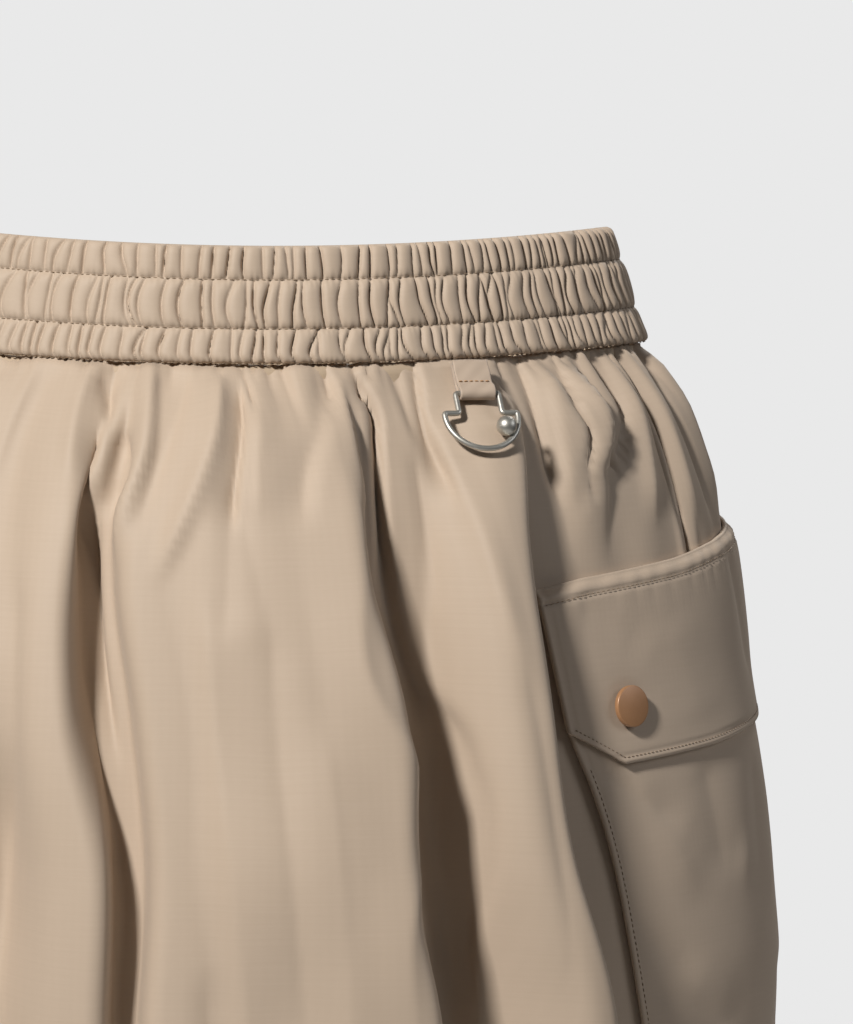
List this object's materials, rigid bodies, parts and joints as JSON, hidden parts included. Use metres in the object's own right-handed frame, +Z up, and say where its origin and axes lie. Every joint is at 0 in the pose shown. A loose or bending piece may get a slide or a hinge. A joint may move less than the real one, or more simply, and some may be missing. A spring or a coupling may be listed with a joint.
{
  "type": "balloon skort",
  "caption": "Balloon skort in its filled-out form: shirred elastic waistband, full folded skirt drawn in at the hem, inner shorts, cargo pockets with snapped flaps, metal ring on a tape",
  "frame": {"origin": "middle of the waist opening at the height of its sides, where the body that wears the garment holds it up", "axes": "+X towards the wearer's left, -Y the front, +Z up"},
  "size_m": [0.3964, 0.2932, 0.4142],
  "materials": {
    "cloth": "smooth tan taffeta with a soft sheen",
    "shorts_cloth": "matt tan",
    "snap": "satin copper-tan enamel",
    "nickel": "brushed nickel"
  },
  "bodies": {
    "garment": {"waistband": "cloth", "skirt_front": "cloth", "skirt_back": "cloth", "hem_band": "cloth", "shorts_left": "shorts_cloth", "shorts_right": "shorts_cloth", "pocket_bag_left": "cloth", "pocket_bag_right": "cloth", "pocket_flap_left": "cloth", "pocket_flap_right": "cloth", "snap_left_front": "snap", "snap_left_back": "snap", "snap_right_front": "snap", "snap_right_back": "snap", "ring_tape": "cloth"},
    "ring": {"d_ring": "nickel"}
  },
  "joints": [
    {"name": "ring_swing", "type": "hinge", "parent": "garment", "child": "ring", "pos_m": [0.08245, -0.08161, -0.05876], "axis": [-0.9703, -0.2419, 0], "range_deg": [0, 60]}
  ]
}
